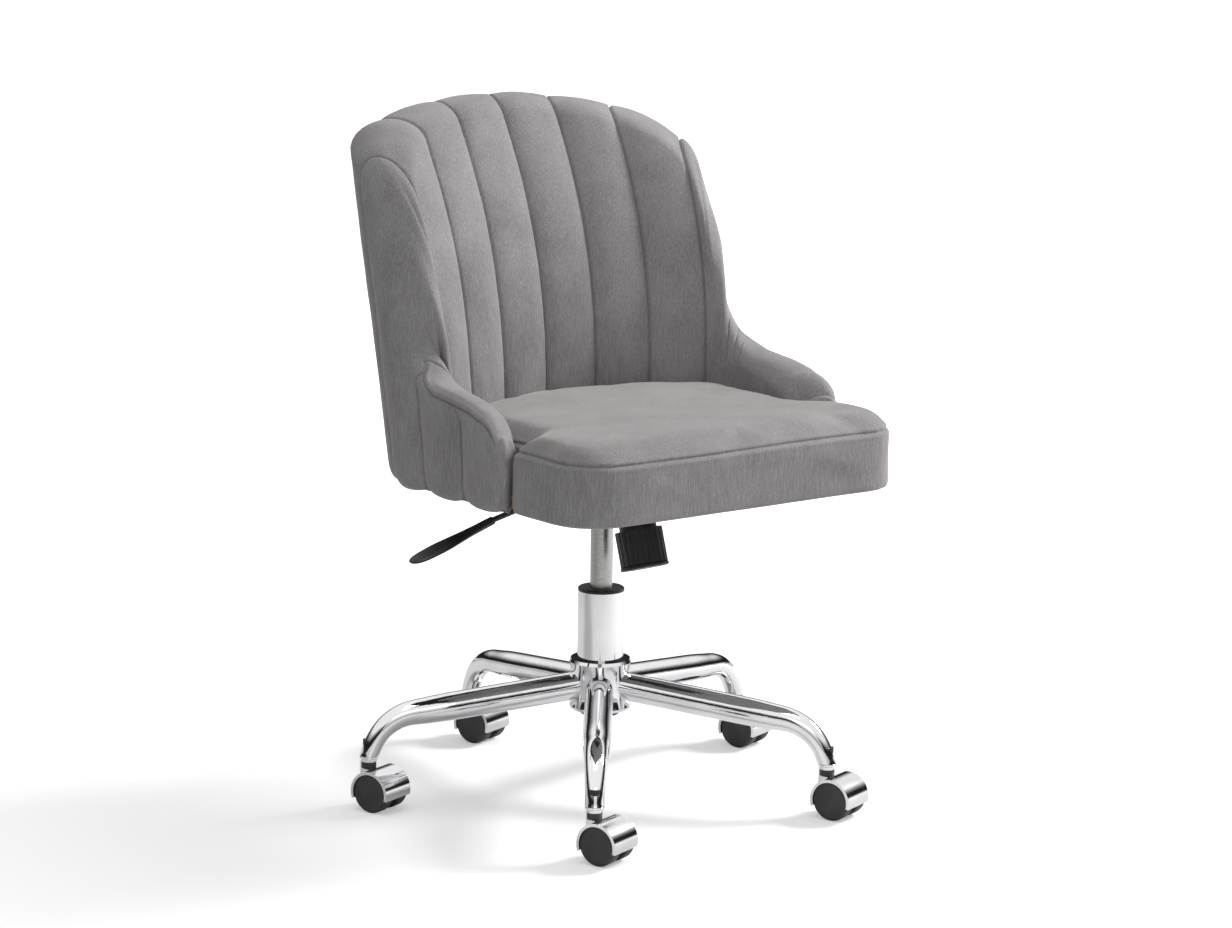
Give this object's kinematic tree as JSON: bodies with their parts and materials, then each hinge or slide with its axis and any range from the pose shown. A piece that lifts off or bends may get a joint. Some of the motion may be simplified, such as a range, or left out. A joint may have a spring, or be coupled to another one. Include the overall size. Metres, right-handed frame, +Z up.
{
  "type": "upholstered swivel desk chair",
  "caption": "Height-adjustable swivel desk chair: channel-tufted bucket back with low sloping arms, box seat, tilt mechanism, gas lift and star base on twin-wheel casters.",
  "frame": {"origin": "on the floor, on the axis of the column", "axes": "+Z up along the column; the seat's front faces -Y; a sitter's right hand is at -X, where the lever is"},
  "size_m": [0.6295, 0.6103, 0.859],
  "materials": {
    "chrome_tube": "bright chrome plate",
    "chrome_hood": "bright chrome plate on a pressing",
    "satin_steel": "ground and lacquered steel tube",
    "black_steel": "black powder coat",
    "black_moulding": "moulded black polypropylene, fine texture",
    "black_wheel": "moulded nylon wheel with a smooth matt disc",
    "white_moulding": "moulded acetal",
    "bearing_steel": "ground steel",
    "spring_steel": "oiled spring steel",
    "zinc_plate": "bright zinc plate",
    "plywood": "birch plywood",
    "dust_cloth": "black spun cloth",
    "seat_fabric": "warm grey chenille velvet"
  },
  "bodies": {
    "base": {"base_hub": "chrome_tube", "base_leg_1": "chrome_tube", "base_leg_2": "chrome_tube", "base_leg_3": "chrome_tube", "base_leg_4": "chrome_tube", "base_leg_5": "chrome_tube", "caster_sockets": "black_moulding", "column_tube": "black_steel", "column_sleeve": "chrome_tube", "sleeve_ring": "black_moulding", "guide_bush": "white_moulding", "thrust_bearing": "bearing_steel", "retaining_clip": "bearing_steel"},
    "spindle": {"piston_rod": "bearing_steel"},
    "lift": {"gas_cylinder": "satin_steel", "mechanism_housing": "black_steel", "pivot_pin": "bearing_steel", "tension_bolt": "bearing_steel", "tension_spring": "spring_steel"},
    "valve": {"valve_pin": "bearing_steel"},
    "knob": {"tension_knob": "black_moulding"},
    "lever_slide": {"lever_bush": "black_moulding"},
    "lever": {"lever_rod": "black_steel", "lever_paddle": "black_moulding"},
    "seat": {"seat_plate": "black_steel", "seat_bolts": "zinc_plate", "seat_nuts": "zinc_plate", "seat_board": "plywood", "seat_cushion": "seat_fabric", "dust_cover": "dust_cloth", "back_shell": "plywood", "back_inner_pad": "seat_fabric", "back_outer_cover": "seat_fabric", "back_brackets": "zinc_plate", "bracket_screws": "zinc_plate"},
    "caster_1": {"caster_1_hood": "chrome_hood", "caster_1_stem": "chrome_hood", "caster_1_axle": "bearing_steel"},
    "caster_1_wheel_left": {"caster_1_wheel_left": "black_wheel"},
    "caster_1_wheel_right": {"caster_1_wheel_right": "black_wheel"},
    "caster_2": {"caster_2_hood": "chrome_hood", "caster_2_stem": "chrome_hood", "caster_2_axle": "bearing_steel"},
    "caster_2_wheel_left": {"caster_2_wheel_left": "black_wheel"},
    "caster_2_wheel_right": {"caster_2_wheel_right": "black_wheel"},
    "caster_3": {"caster_3_hood": "chrome_hood", "caster_3_stem": "chrome_hood", "caster_3_axle": "bearing_steel"},
    "caster_3_wheel_left": {"caster_3_wheel_left": "black_wheel"},
    "caster_3_wheel_right": {"caster_3_wheel_right": "black_wheel"},
    "caster_4": {"caster_4_hood": "chrome_hood", "caster_4_stem": "chrome_hood", "caster_4_axle": "bearing_steel"},
    "caster_4_wheel_left": {"caster_4_wheel_left": "black_wheel"},
    "caster_4_wheel_right": {"caster_4_wheel_right": "black_wheel"},
    "caster_5": {"caster_5_hood": "chrome_hood", "caster_5_stem": "chrome_hood", "caster_5_axle": "bearing_steel"},
    "caster_5_wheel_left": {"caster_5_wheel_left": "black_wheel"},
    "caster_5_wheel_right": {"caster_5_wheel_right": "black_wheel"}
  },
  "joints": [
    {"name": "seat_swivel", "type": "hinge", "parent": "base", "child": "spindle", "pos_m": [0, 0, 0.104], "axis": [0, 0, 1], "continuous": true},
    {"name": "seat_height", "type": "slide", "parent": "spindle", "child": "lift", "axis": [0, 0, 1], "range_m": [-0.08, 0]},
    {"name": "valve_press", "type": "slide", "parent": "lift", "child": "valve", "axis": [0, 0, -1], "range_m": [0, 0.0046], "stiffness_N_per_m": 400, "springref_m": -0.002},
    {"name": "tension_turn", "type": "hinge", "parent": "lift", "child": "knob", "pos_m": [0, -0.067, 0.36337], "axis": [0, 0.309, 0.9511], "continuous": true},
    {"name": "lever_pull", "type": "slide", "parent": "lift", "child": "lever_slide", "axis": [-1, 0, 0], "range_m": [0, 0.003]},
    {"name": "lever_lift", "type": "hinge", "parent": "lever_slide", "child": "lever", "pos_m": [-0.04, 0, 0.3888], "axis": [0, 1, 0], "range_deg": [0, 6], "stiffness_Nm_per_rad": 0.8, "springref_deg": -14.32},
    {"name": "seat_tilt", "type": "hinge", "parent": "lift", "child": "seat", "pos_m": [0, -0.03, 0.383], "axis": [-1, 0, 0], "range_deg": [0, 12], "stiffness_Nm_per_rad": 180, "springref_deg": -6.88, "deforming": ["tension_spring"]},
    {"name": "caster_1_swivel", "type": "hinge", "parent": "base", "child": "caster_1", "pos_m": [-0.18467, -0.23133, 0.066], "axis": [0, 0, 1], "continuous": true},
    {"name": "caster_1_wheel_left_roll", "type": "hinge", "parent": "caster_1", "child": "caster_1_wheel_left", "pos_m": [-0.17881, -0.24835, 0.025], "axis": [0.9455, 0.3256, 0], "continuous": true},
    {"name": "caster_1_wheel_right_roll", "type": "hinge", "parent": "caster_1", "child": "caster_1_wheel_right", "pos_m": [-0.17881, -0.24835, 0.025], "axis": [0.9455, 0.3256, 0], "continuous": true},
    {"name": "caster_2_swivel", "type": "hinge", "parent": "base", "child": "caster_2", "pos_m": [0.16294, -0.24712, 0.066], "axis": [0, 0, 1], "continuous": true},
    {"name": "caster_2_wheel_left_roll", "type": "hinge", "parent": "caster_2", "child": "caster_2_wheel_left", "pos_m": [0.1688, -0.26413, 0.025], "axis": [0.9455, 0.3256, 0], "continuous": true},
    {"name": "caster_2_wheel_right_roll", "type": "hinge", "parent": "caster_2", "child": "caster_2_wheel_right", "pos_m": [0.1688, -0.26413, 0.025], "axis": [0.9455, 0.3256, 0], "continuous": true},
    {"name": "caster_3_swivel", "type": "hinge", "parent": "base", "child": "caster_3", "pos_m": [0.28537, 0.0786, 0.066], "axis": [0, 0, 1], "continuous": true},
    {"name": "caster_3_wheel_left_roll", "type": "hinge", "parent": "caster_3", "child": "caster_3_wheel_left", "pos_m": [0.29123, 0.06159, 0.025], "axis": [0.9455, 0.3256, 0], "continuous": true},
    {"name": "caster_3_wheel_right_roll", "type": "hinge", "parent": "caster_3", "child": "caster_3_wheel_right", "pos_m": [0.29123, 0.06159, 0.025], "axis": [0.9455, 0.3256, 0], "continuous": true},
    {"name": "caster_4_swivel", "type": "hinge", "parent": "base", "child": "caster_4", "pos_m": [0.01343, 0.29569, 0.066], "axis": [0, 0, 1], "continuous": true},
    {"name": "caster_4_wheel_left_roll", "type": "hinge", "parent": "caster_4", "child": "caster_4_wheel_left", "pos_m": [0.01929, 0.27868, 0.025], "axis": [0.9455, 0.3256, 0], "continuous": true},
    {"name": "caster_4_wheel_right_roll", "type": "hinge", "parent": "caster_4", "child": "caster_4_wheel_right", "pos_m": [0.01929, 0.27868, 0.025], "axis": [0.9455, 0.3256, 0], "continuous": true},
    {"name": "caster_5_swivel", "type": "hinge", "parent": "base", "child": "caster_5", "pos_m": [-0.27707, 0.10415, 0.066], "axis": [0, 0, 1], "continuous": true},
    {"name": "caster_5_wheel_left_roll", "type": "hinge", "parent": "caster_5", "child": "caster_5_wheel_left", "pos_m": [-0.27121, 0.08713, 0.025], "axis": [0.9455, 0.3256, 0], "continuous": true},
    {"name": "caster_5_wheel_right_roll", "type": "hinge", "parent": "caster_5", "child": "caster_5_wheel_right", "pos_m": [-0.27121, 0.08713, 0.025], "axis": [0.9455, 0.3256, 0], "continuous": true}
  ],
  "couplings": [
    {"joint": "valve_press", "follows": "lever_lift", "m_per_rad": 0.043}
  ]
}
